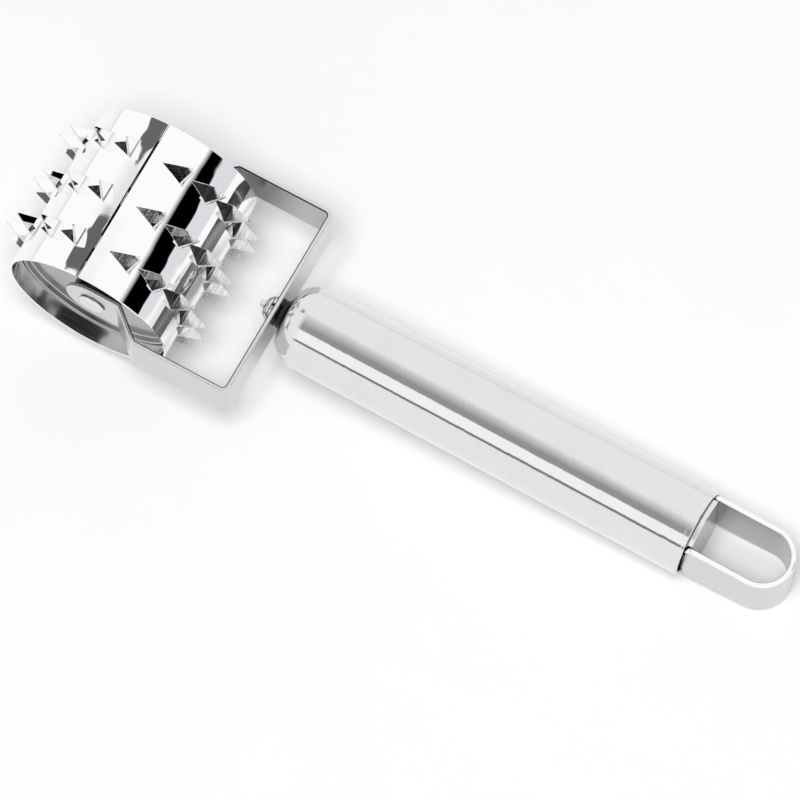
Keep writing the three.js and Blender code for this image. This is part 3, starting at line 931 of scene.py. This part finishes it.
def loop_surface(sizes):
    middle_half = sizes.loop_half - sizes.loop_sheet / 2
    bend_start = sizes.loop_tip - sizes.loop_half
    leg = bend_start - sizes.loop_start
    run = Run((sizes.loop_start, -middle_half), 0,
              [(leg, 0), (math.pi * middle_half, math.pi), (leg, 0)])
    shoulder = sizes.loop_shoulder - sizes.loop_start
    tang, root, tip = sizes.tang_height / 2, sizes.loop_root_height / 2, sizes.loop_tip_height / 2
    taper = (tip - root) / (sizes.loop_tip - sizes.loop_shoulder)
    shallow = root + taper * (bend_start - sizes.loop_shoulder)
    lower = [(0, -tang, 0.6 * MM), (shoulder, -tang, 0.4 * MM), (shoulder, -root, 2 * MM),
             (leg, -shallow, 0), (run.length / 2, -tip, 0)]
    lower += [(run.length - s, w, radius) for s, w, radius in reversed(lower[:-1])]
    corners = lower + [(s, -w, radius) for s, w, radius in reversed(lower)]
    rounding = 0.36 * MM
    # The loop's inner side takes the strip's painted shade
    return sheet(run, inset(rounded(corners), rounding), [], sizes.loop_sheet, rounding,
                 step=math.radians(4), finishes=(0, 1, 2, 2))


def disc_surface(sizes):
    inner = sizes.disc_place - sizes.disc_sheet
    lip = sizes.disc_place + sizes.disc_lip
    return ring([
        (sizes.disc_hole, inner, 0.12 * MM), (sizes.disc_radius, inner, 1 * MM),
        (sizes.disc_radius, lip, 0.3 * MM), (sizes.disc_radius - sizes.disc_sheet, lip, 0.3 * MM),
        (sizes.disc_radius - sizes.disc_sheet, sizes.disc_place, 0.5 * MM),
        (sizes.disc_hole, sizes.disc_place, 0.2 * MM),
    ], LARGE_ROUND, ABOUT_Y)


def bush_surface(sizes):
    small = 0.15 * MM
    return ring([
        (sizes.bore, sizes.bush_start, small), (sizes.bush_radius, sizes.bush_start, small),
        (sizes.bush_radius, sizes.bush_flange_start, 0),
        (sizes.bush_flange_radius, sizes.bush_flange_start, small),
        (sizes.bush_flange_radius, sizes.bush_end, small), (sizes.bore, sizes.bush_end, small),
    ], SMALL_ROUND, ABOUT_Y)


def plain_ring(inner, outer, start, end, rounding, place, sides=RING_ROUND):
    return ring([(inner, start, rounding), (outer, start, rounding), (outer, end, rounding),
                 (inner, end, rounding)], sides, place)


def tube_surface(sizes):
    wall = sizes.tube_wall
    rise = sizes.nose_radius - sizes.nose_flat
    depth = sizes.nose_end - sizes.nose_start

    def nose(rise, depth, steps=24):
        """The nose's quarter ellipse, from its flat to the tube's side."""
        quarter = dome(rise, depth, sizes.nose_end, -1, steps)
        return [(point + Vector((sizes.nose_flat, 0)), normal) for point, normal in reversed(quarter)]

    bore = sizes.tail_radius - wall
    inner = [(point, -normal) for point, normal in reversed(nose(rise - wall, depth - wall))]
    lip, chamfer = 0.3 * MM, 0.2 * MM
    mouth = rounded([
        (sizes.nose_radius, sizes.nose_end, 0), (sizes.tail_radius, sizes.tail_place, lip),
        (bore, sizes.tail_place, lip), (rise - wall + sizes.nose_flat, sizes.nose_end, 0),
    ], closed=False)
    hole = rounded([
        (sizes.nose_flat, sizes.nose_start + wall, 0),
        (sizes.neck_hole, sizes.nose_start + wall, chamfer),
        (sizes.neck_hole, sizes.nose_start, chamfer), (sizes.nose_flat, sizes.nose_start, 0),
    ], closed=False)
    return turned(nose(rise, depth) + mouth[1:-1] + inner + hole[1:-1], LARGE_ROUND, ABOUT_X)


def facing_x(start, end):
    """A straight run across the tool whose sheet lies between two places along the handle."""
    middle_x = (start + end) / 2
    return Run((middle_x, -1), math.pi / 2, [(2, 0)]), end - start


def clipped_round(radius, flat, rounding):
    """The corners of a round cut off by two flats, about the middle of a run two metres long."""
    corners = []
    reach = math.acos(flat / radius)
    steps = 24
    for side in (1, -1):
        for k in range(steps + 1):
            turn = reach + (math.pi - 2 * reach) * k / steps
            at_corner = k in (0, steps)
            corners.append((1 + side * radius * math.cos(turn), side * radius * math.sin(turn),
                            rounding if at_corner else 0))
    return corners


def cap_surface(sizes):
    rounding = 0.25 * MM
    corner = 0.35 * MM
    run, thickness = facing_x(sizes.cap_start, sizes.cap_start + sizes.cap_flange)
    flange = inset(rounded(clipped_round(sizes.tail_radius, sizes.cap_flat, corner)), rounding)
    # The flange's faces and inner rounding take the strip's painted shade
    cap = sheet(run, flange, [], thickness, rounding, finishes=(1, 1, 0, 1))
    run, thickness = facing_x(sizes.tail_place - sizes.cap_plug, sizes.cap_start)
    plug = inset(rounded(clipped_round(sizes.cap_plug_radius, sizes.cap_flat, corner)), rounding)
    cap.take(sheet(run, plug, [], thickness, rounding))
    return cap


def split_washer_surface(sizes):
    rounding = 0.12 * MM
    corner = 0.2 * MM
    run, thickness = facing_x(sizes.split_start, sizes.split_end)
    half_gap = sizes.split_gap / 2
    corners = []
    for radius, way in ((sizes.split_radius, 1), (sizes.neck_hole, -1)):
        cut = math.asin(half_gap / radius)
        steps = 40
        arc = [math.pi / 2 + cut + (math.tau - 2 * cut) * k / steps for k in range(steps + 1)]
        for k, turn in list(enumerate(arc))[::way]:
            corners.append((1 + radius * math.cos(turn), radius * math.sin(turn),
                            corner if k in (0, steps) else 0))
    return sheet(run, inset(rounded(corners), rounding), [], thickness, rounding)


def screw_surface(sizes):
    height = sizes.screw_head_end - sizes.screw_head_start
    head = dome(sizes.screw_head_radius, height, sizes.screw_head_end, -1, 14)
    shaft = rounded([(sizes.screw_head_radius, sizes.screw_head_end, 0),
                     (sizes.screw_radius, sizes.screw_head_end, 0),
                     (sizes.screw_radius, sizes.screw_end, 0.3 * MM), (0, sizes.screw_end, 0)],
                    closed=False)
    return turned([(p, n) for p, n in reversed(head)] + shaft, SMALL_ROUND, ABOUT_X, closed=False)


def box_surface(low, high):
    """A plain block for cutting, between two corners."""
    surface = Surface()
    for axis in range(3):
        for side, end in ((-1, low), (1, high)):
            normal = Vector((0, 0, 0))
            normal[axis] = side
            spots = []
            for u, v in ((0, 0), (1, 0), (1, 1), (0, 1)):
                spot = Vector((0, 0, 0))
                spot[axis] = end[axis]
                spot[axis - 2] = (low, high)[u][axis - 2]
                spot[axis - 1] = (low, high)[v][axis - 1]
                spots.append(surface.add(spot, normal, (0, 0, 0)))
            surface.face(spots)
    return surface


def cut_recess(piece, sizes):
    """Cuts the cross recess into the screw's head."""
    half_width, half_length = sizes.recess_width / 2, sizes.recess_length / 2
    start, floor = sizes.screw_head_start - 1 * MM, sizes.screw_head_start + sizes.recess_depth
    for wide, high in ((half_width, half_length), (half_length, half_width)):
        block = box_surface(Vector((start, -wide, -high)), Vector((floor, wide, high)))
        mesh = bpy.data.meshes.new("recess_cutter")
        mesh.from_pydata([TOOL @ point for point in block.points], [], block.faces)
        cutter = bpy.data.objects.new("recess_cutter", mesh)
        bpy.context.scene.collection.objects.link(cutter)
        weld = cutter.modifiers.new("weld", "WELD")
        weld.merge_threshold = 1e-6
        cut = piece.modifiers.new("recess", "BOOLEAN")
        cut.object = cutter
        cut.solver = "EXACT"
        view = bpy.context.evaluated_depsgraph_get()
        solid = bpy.data.meshes.new_from_object(piece.evaluated_get(view))
        piece.modifiers.clear()
        piece.data = solid
        bpy.data.objects.remove(cutter)


class TENDERIZER_OT_roller(bpy.types.Operator):
    """Makes the roller's sheet, with its seam and its bent-up teeth"""

    bl_idname = "tenderizer.roller"
    bl_label = "Roller"
    bl_options = {"REGISTER", "UNDO"}

    def execute(self, context):
        sizes = context.scene.tenderizer_sizes
        roller_surface(sizes).piece("roller_shell", "roller", "mirror_steel",
                                    polished_sheet, mill_sheet, painted_shade_edge, inside_painted_shade)
        return {"FINISHED"}


class TENDERIZER_OT_end_discs(bpy.types.Operator):
    """Makes the pressed discs in the roller's ends"""

    bl_idname = "tenderizer.end_discs"
    bl_label = "End discs"
    bl_options = {"REGISTER", "UNDO"}

    def execute(self, context):
        sizes = context.scene.tenderizer_sizes
        make_pair(disc_surface(sizes), "end_disc", "roller", "pressed_steel")
        return {"FINISHED"}


class TENDERIZER_OT_bearings(bpy.types.Operator):
    """Makes the bushes in the discs and the washers beside them"""

    bl_idname = "tenderizer.bearings"
    bl_label = "Bushes and washers"
    bl_options = {"REGISTER", "UNDO"}

    def execute(self, context):
        sizes = context.scene.tenderizer_sizes
        make_pair(bush_surface(sizes), "bush", "roller", "bearing_bronze")
        washer = plain_ring(sizes.bore, sizes.washer_radius, sizes.washer_start, sizes.washer_end,
                            0.15 * MM, ABOUT_Y)
        # The thrust washers take a near-black painted shade
        make_pair(washer, "thrust_washer", "tool_frame", "turned_steel", washer_painted_shade)
        return {"FINISHED"}


class TENDERIZER_OT_axle(bpy.types.Operator):
    """Makes the axle with its two domed heads"""

    bl_idname = "tenderizer.axle"
    bl_label = "Axle"
    bl_options = {"REGISTER", "UNDO"}

    def execute(self, context):
        sizes = context.scene.tenderizer_sizes
        axle_surface(sizes).piece("axle", "tool_frame", "turned_steel")
        return {"FINISHED"}


class TENDERIZER_OT_yoke(bpy.types.Operator):
    """Makes the yoke's bent strip"""

    bl_idname = "tenderizer.yoke"
    bl_label = "Yoke"
    bl_options = {"REGISTER", "UNDO"}

    def execute(self, context):
        sizes = context.scene.tenderizer_sizes
        yoke_surface(sizes).piece("yoke", "tool_frame", "strip_steel",
                                  buffed_strip, strip_painted_shade, painted_shade_edge)
        return {"FINISHED"}


class TENDERIZER_OT_neck(bpy.types.Operator):
    """Makes the neck's screw, split washer, spacer and insert"""

    bl_idname = "tenderizer.neck"
    bl_label = "Neck"
    bl_options = {"REGISTER", "UNDO"}

    def execute(self, context):
        sizes = context.scene.tenderizer_sizes
        screw = screw_surface(sizes).piece("neck_screw", "tool_frame", "turned_steel")
        cut_recess(screw, sizes)
        split_washer_surface(sizes).piece("split_washer", "tool_frame", "turned_steel")
        spacer = plain_ring(sizes.neck_hole, sizes.spacer_radius, sizes.spacer_start, sizes.spacer_end,
                            0.2 * MM, ABOUT_X)
        spacer.piece("neck_spacer", "tool_frame", "black_spacer")
        insert = plain_ring(sizes.neck_hole, sizes.insert_radius, sizes.insert_start, sizes.insert_end,
                            0.3 * MM, ABOUT_X)
        insert.piece("threaded_insert", "tool_frame", "turned_steel")
        return {"FINISHED"}


class TENDERIZER_OT_handle(bpy.types.Operator):
    """Makes the handle's tube and the cap in its mouth"""

    bl_idname = "tenderizer.handle"
    bl_label = "Handle"
    bl_options = {"REGISTER", "UNDO"}

    def execute(self, context):
        sizes = context.scene.tenderizer_sizes
        tube_surface(sizes).piece("handle_tube", "tool_frame", "satin_steel")
        cap_surface(sizes).piece("end_cap", "tool_frame", "satin_steel", buffed_tube, strip_painted_shade)
        return {"FINISHED"}


class TENDERIZER_OT_hanging_loop(bpy.types.Operator):
    """Makes the hanging loop with its tangs"""

    bl_idname = "tenderizer.hanging_loop"
    bl_label = "Hanging loop"
    bl_options = {"REGISTER", "UNDO"}

    def execute(self, context):
        sizes = context.scene.tenderizer_sizes
        loop_surface(sizes).piece("hanging_loop", "tool_frame", "strip_steel",
                                  buffed_strip, strip_painted_shade, polished_sheet)
        return {"FINISHED"}


def make_pair(surface, name, body, slot, *finishes):
    """Makes a piece at the roller's right end and the same turned round at its left."""
    surface.piece(name + "_right", body, slot, *finishes)
    other = Surface()
    other.take(surface, OTHER_SIDE)
    other.piece(name + "_left", body, slot, *finishes)


def way_to(azimuth, elevation):
    """The way from the tool to a place round and over it."""
    cos, sin = math.cos(elevation), math.sin(elevation)
    return Vector((math.sin(azimuth) * cos, -math.cos(azimuth) * cos, sin))


def camera_back(stage):
    """The way from what the camera looks at to the camera."""
    return way_to(stage.azimuth, stage.elevation)


def make_camera(stage):
    back = camera_back(stage)
    level = Vector((math.cos(stage.azimuth), math.sin(stage.azimuth), 0))
    right = math.cos(stage.roll) * level + math.sin(stage.roll) * back.cross(level)
    up = back.cross(right)
    data = bpy.data.cameras.new("camera")
    data.lens = stage.lens
    data.sensor_width = 36
    data.clip_start, data.clip_end = 0.05, 20
    camera = bpy.data.objects.new("camera", data)
    turn = Matrix((right, up, back)).transposed().to_4x4()
    camera.matrix_world = Matrix.Translation(Vector(stage.aim) + back * stage.distance) @ turn
    bpy.context.scene.collection.objects.link(camera)
    bpy.context.scene.camera = camera


def seen_rays(tree):
    """1 for rays that show a background: from the camera, in a mirror or through glass."""
    path = tree.node("ShaderNodeLightPath").socket.node.outputs
    names = ("Is Camera Ray", "Is Glossy Ray", "Is Transmission Ray")
    camera, glossy, through = (Socket(tree, path[name]) for name in names)
    return limited(camera + glossy + through, 0, 1, 0, 1)


def make_sky(stage):
    world = bpy.data.worlds.new("studio")
    bpy.context.scene.world = world
    tree = Tree(world)
    strength = limited(seen_rays(tree), 0, 1, stage.sky, 1)
    sky = tree.node("ShaderNodeBackground", None, {"Color": 1, "Strength": strength})
    tree.finish(sky, "ShaderNodeOutputWorld")
    # The surroundings light the steel only by what it mirrors, so that the cards stand before them
    world.cycles.sampling_method = "NONE"


def make_floor(stage):
    material = bpy.data.materials.new("floor")
    tree = Tree(material)
    place = tree.node("ShaderNodeTexCoord", None, None, 3)
    grain = tree.node("ShaderNodeTexNoise", None, {"Vector": place, "Scale": 40, "Detail": 3})
    tint = limited(grain, 0, 1, 0.985, 1)
    values = {"Base Color": tree.mixed(stage.floor, tint), "Roughness": 0.9, "Specular IOR Level": 0}
    tree.finish(tree.node("ShaderNodeBsdfPrincipled", None, values))
    mesh = bpy.data.meshes.new("floor")
    corners = [(x * FLOOR_HALF, y * FLOOR_HALF, 0) for x, y in ((-1, -1), (1, -1), (1, 1), (-1, 1))]
    mesh.from_pydata(corners, [], [(0, 1, 2, 3)])
    mesh.materials.append(material)
    floor = bpy.data.objects.new("floor", mesh)
    bpy.context.scene.collection.objects.link(floor)


def make_lamp(stage):
    """A soft lamp before the roller, so that the tool's shadow falls along its handle."""
    data = bpy.data.lights.new("key", "AREA")
    data.shape = "DISK"
    data.size = stage.key_size
    data.energy = stage.key
    lamp = bpy.data.objects.new("key", data)
    back = way_to(stage.key_azimuth, stage.key_elevation)
    lamp.location = Vector(stage.aim) + back * stage.key_distance
    lamp.rotation_mode = "QUATERNION"
    lamp.rotation_quaternion = back.to_track_quat("Z", "Y")
    lamp.visible_camera = False
    lamp.visible_glossy = False
    bpy.context.scene.collection.objects.link(lamp)


# Cards that stand off in the studio, about 250 to 450 mm from the tool, and that its steel mirrors.
# Their outlines are worked out once, from where the camera sees them in the steel, and then stay
# where they are. Each has its tone, its columns and its rows. A column is a place along the roller
# or the handle, how far the mirrored ray goes on from there to the card, and how much it covers. A
# row is how much it covers and the (place, angle round the steel) points at which the camera sees
# it. Lengths are in millimetres, angles in degrees.
ROLLER_CARDS = (
    ("black_card", 0.0, ((-27, 400, 0), (-25.5, 400, 1), (25.5, 400, 1), (27, 400, 0)), (
        (0, (-18, 25), (-2, 23.3), (10, 22.8), (20, 24)),
        (1, (-18, 28.6), (-2, 26.6), (10, 26.2), (20, 27.6)),
        (1, (-22, 41.1), (-13.8, 40.4), (-5.7, 38.6), (3.8, 38.8), (9.4, 37.9), (17.7, 36.5),
         (22, 33.8)),
        (0, (-22, 41.6), (-13.8, 40.9), (-5.7, 39.1), (3.8, 39.3), (9.4, 38.4), (17.7, 37),
         (22, 34.3)))),
    ("seam_card_near", 0.13, ((-24.6, 400, 0), (-23.6, 400, 1), (-3.6, 400, 1), (-3, 400, 0)), (
        (0, (-22.6, -16.4), (-20, -18), (-16, -18.8), (-11, -15.1), (-3, -15.1)),
        (1, (-22.6, -15.8), (-20, -17.4), (-16, -18.2), (-11, -14.5), (-3, -14.5)),
        (1, (-12, -7), (-10, -7.5), (-3, -7.5)), (0, (-12, -6.6), (-10, -7.1), (-3, -7.1)))),
    ("seam_card_far", 0.13, ((11.6, 400, 0), (12.4, 400, 1), (24, 400, 1), (25, 400, 0)), (
        (0, (12, -12), (14, -13.4), (16, -16.4), (18, -17.9), (22, -19.4)),
        (1, (12, -11.4), (14, -12.8), (16, -15.8), (18, -17.3), (22, -18.8)),
        (1, (12, -10.6), (14, -9), (16, -7.8), (17.5, -7)),
        (0, (12, -10.2), (14, -8.6), (16, -7.4), (17.5, -6.6)))),
    ("seam_haze", 0.8, ((-4.6, 410, 0), (-3.4, 410, 1), (11, 410, 1), (15, 410, 0)), (
        (0, (0, -20)), (0.45, (0, -15)), (0.9, (0, -11.5)), (1, (0, -7)), (0, (0, -6.6)))),
    ("lilac_card", (0.74, 0.73, 0.77), ((-45, 420, 0), (-40, 420, 1), (40, 420, 1), (45, 420, 0)), (
        (0, (-22.6, 39), (22.6, 34)), (1, (-22.6, 40), (22.6, 35)),
        (1, (-22, 46), (-14, 49), (-8, 46.5), (-3, 50), (15, 50), (20, 52.5)),
        (0, (-22, 49), (-14, 52), (-8, 49), (-3, 52), (15, 52), (20, 54.5)))),
)
HANDLE_CARDS = (
    ("band_card", 0.36, ((48.5, 500, 0), (49.7, 500, 1), (157.8, 500, 1)), (
        (0, (49.7, 0.5), (157.8, 6.5)), (0.4, (49.7, 6), (157.8, 12)), (0.7, (49.7, 12), (157.8, 16)),
        (1, (49.7, 17.5), (157.8, 20)), (1, (49.7, 23.5), (157.8, 26.3)),
        (0, (49.7, 24.3), (157.8, 27.3)))),
    ("strip_light", 1.12, ((48.5, 510, 0), (49.7, 510, 1), (157.8, 510, 1)), (
        (0, (49.7, 24.2), (157.8, 27.2)), (1, (49.7, 24.7), (157.8, 27.7)),
        (1, (49.7, 37.7), (157.8, 39.7)), (0, (49.7, 38), (157.8, 40)))),
    ("line_card", 0.25, ((48.5, 490, 0), (49.7, 490, 1), (157.8, 490, 1)), (
        (0, (49.7, 38.2), (157.8, 40)), (1, (49.7, 38.6), (157.8, 40.5)),
        (1, (49.7, 41.2), (157.8, 43.3)), (0, (49.7, 41.8), (157.8, 44)))),
)


def between(line, place):
    """The numbers at a place on a line of (place, number, ...) points, held past its ends."""
    if place <= line[0][0]:
        return line[0][1:]
    for (start, *before), (stop, *after) in zip(line, line[1:]):
        if place <= stop:
            part = (place - start) / (stop - start)
            return [a + (b - a) * part for a, b in zip(before, after)]
    return line[-1][1:]


def mirrored_spot(stage, point, normal, reach):
    """Where the camera's ray to a polished point goes on to, at a reach, and the way back."""
    eye = Vector(stage.aim) + camera_back(stage) * stage.distance
    spot, looks = TOOL @ point, TOOL_TURN.to_3x3() @ normal
    back = (eye - spot).normalized()
    way = 2 * looks.dot(back) * looks - back
    return spot + way * reach, -way


def roller_spot(sizes, turn, place):
    """A point of the roller's side and its normal."""
    normal = Vector((math.sin(turn), 0, math.cos(turn)))
    return normal * sizes.roller_radius + Vector((0, place, 0)), normal


def handle_spot(sizes, turn, place):
    """A point of the handle's side or nose and its normal."""
    rise, depth = sizes.nose_radius - sizes.nose_flat, sizes.nose_end - sizes.nose_start
    sin = min(1, max(0, (sizes.nose_end - place) / depth))
    cos = math.sqrt(1 - sin * sin)
    grown = (sizes.tail_radius - sizes.nose_radius) * max(0, place - sizes.nose_end)
    radius = sizes.nose_flat + rise * cos + grown / (sizes.tail_place - sizes.nose_end)
    outward = Vector((0, -math.sin(turn), math.cos(turn)))
    normal = (outward * cos / rise - Vector((sin / depth, 0, 0))).normalized()
    return outward * radius + Vector((place, 0, 0)), normal


def make_card(name, tone, spots, cover, ways, across):
    """Makes a card from a grid of spots, so many to a row. Only reflections show it, its cover
    fades it, and only the side that looks the given ways glows."""
    faces = []
    for k in range(len(spots) - across):
        if (k + 1) % across:
            face = (k, k + 1, k + across + 1, k + across)
            looks = (spots[face[1]] - spots[k]).cross(spots[face[2]] - spots[k])
            faces.append(face if looks.dot(ways[k]) > 0 else face[::-1])
    mesh = bpy.data.meshes.new(name)
    mesh.from_pydata(spots, [], faces)
    mesh.attributes.new("cover", "FLOAT", "POINT").data.foreach_set("value", cover)
    material = bpy.data.materials.new(name)
    tree = Tree(material)
    covering = tree.node("ShaderNodeAttribute", {"attribute_name": "cover"}, None, 2)
    behind = tree.node("ShaderNodeNewGeometry", None, None, 6)
    glow = tree.node("ShaderNodeEmission", None, {"Color": tone, "Strength": 1})
    clear = tree.node("ShaderNodeBsdfTransparent")
    tree.finish(tree.node("ShaderNodeMixShader", None, {0: covering - behind, 1: clear, 2: glow}))
    mesh.materials.append(material)
    card = bpy.data.objects.new(name, mesh)
    for kind in ("camera", "diffuse", "transmission", "volume_scatter", "shadow"):
        setattr(card, "visible_" + kind, False)
    bpy.context.scene.collection.objects.link(card)


def mirrored_card(stage, spot_of, name, tone, columns, rows):
    """Makes a card from where the camera sees it in the steel."""
    sizes = bpy.context.scene.tenderizer_sizes
    places = {column[0] for column in columns}
    places |= {place for _, *line in rows for place, _ in line if columns[0][0] < place < columns[-1][0]}
    spots, cover, ways = [], [], []
    for covered, *line in rows:
        for place in sorted(places):
            reach, share = between(columns, place)
            turn = math.radians(between(line, place)[0])
            spot, way = mirrored_spot(stage, *spot_of(sizes, turn, place * MM), reach * MM)
            spots.append(spot)
            ways.append(way)
            cover.append(covered * share)
    make_card(name, tone, spots, cover, ways, len(places))


class TENDERIZER_OT_stage(bpy.types.Operator):
    """Makes the camera, the floor, the lamp, the white surroundings and the cards about them"""

    bl_idname = "tenderizer.stage"
    bl_label = "Stage"
    bl_options = {"REGISTER", "UNDO"}

    def execute(self, context):
        stage = context.scene.tenderizer_stage
        context.scene.view_settings.view_transform = "Standard"
        make_camera(stage)
        make_sky(stage)
        make_floor(stage)
        make_lamp(stage)
        for card in ROLLER_CARDS:
            mirrored_card(stage, roller_spot, *card)
        for card in HANDLE_CARDS:
            mirrored_card(stage, handle_spot, *card)
        return {"FINISHED"}


PIECES = (
    TENDERIZER_OT_roller,
    TENDERIZER_OT_end_discs,
    TENDERIZER_OT_bearings,
    TENDERIZER_OT_axle,
    TENDERIZER_OT_yoke,
    TENDERIZER_OT_neck,
    TENDERIZER_OT_handle,
    TENDERIZER_OT_hanging_loop,
    TENDERIZER_OT_stage,
)


class TENDERIZER_PT_panel(bpy.types.Panel):
    """Lists the tool's pieces and the stage"""

    bl_idname = "TENDERIZER_PT_panel"
    bl_label = "Tenderizer"
    bl_space_type = "VIEW_3D"
    bl_region_type = "UI"
    bl_category = "Tenderizer"

    def draw(self, context):
        for operator in PIECES:
            self.layout.operator(operator.bl_idname)
        for name in ("sizes", "finishes", "stage"):
            group = getattr(context.scene, "tenderizer_" + name)
            box = self.layout.box()
            for field in group.__annotations__:
                box.prop(group, field)


GROUPS = {"sizes": TenderizerSizes, "finishes": TenderizerFinishes, "stage": TenderizerStage}


def register():
    for group in GROUPS.values():
        bpy.utils.register_class(group)
    for kind in (*PIECES, TENDERIZER_PT_panel):
        bpy.utils.register_class(kind)
    for name, group in GROUPS.items():
        setattr(bpy.types.Scene, "tenderizer_" + name, bpy.props.PointerProperty(type=group))


def unregister():
    for name in GROUPS:
        delattr(bpy.types.Scene, "tenderizer_" + name)
    for kind in (TENDERIZER_PT_panel, *reversed(PIECES)):
        bpy.utils.unregister_class(kind)
    for group in reversed(GROUPS.values()):
        bpy.utils.unregister_class(group)


def main():
    register()
    for operator in PIECES:
        group, name = operator.bl_idname.split(".")
        getattr(getattr(bpy.ops, group), name)()


if __name__ == "__main__":
    main()
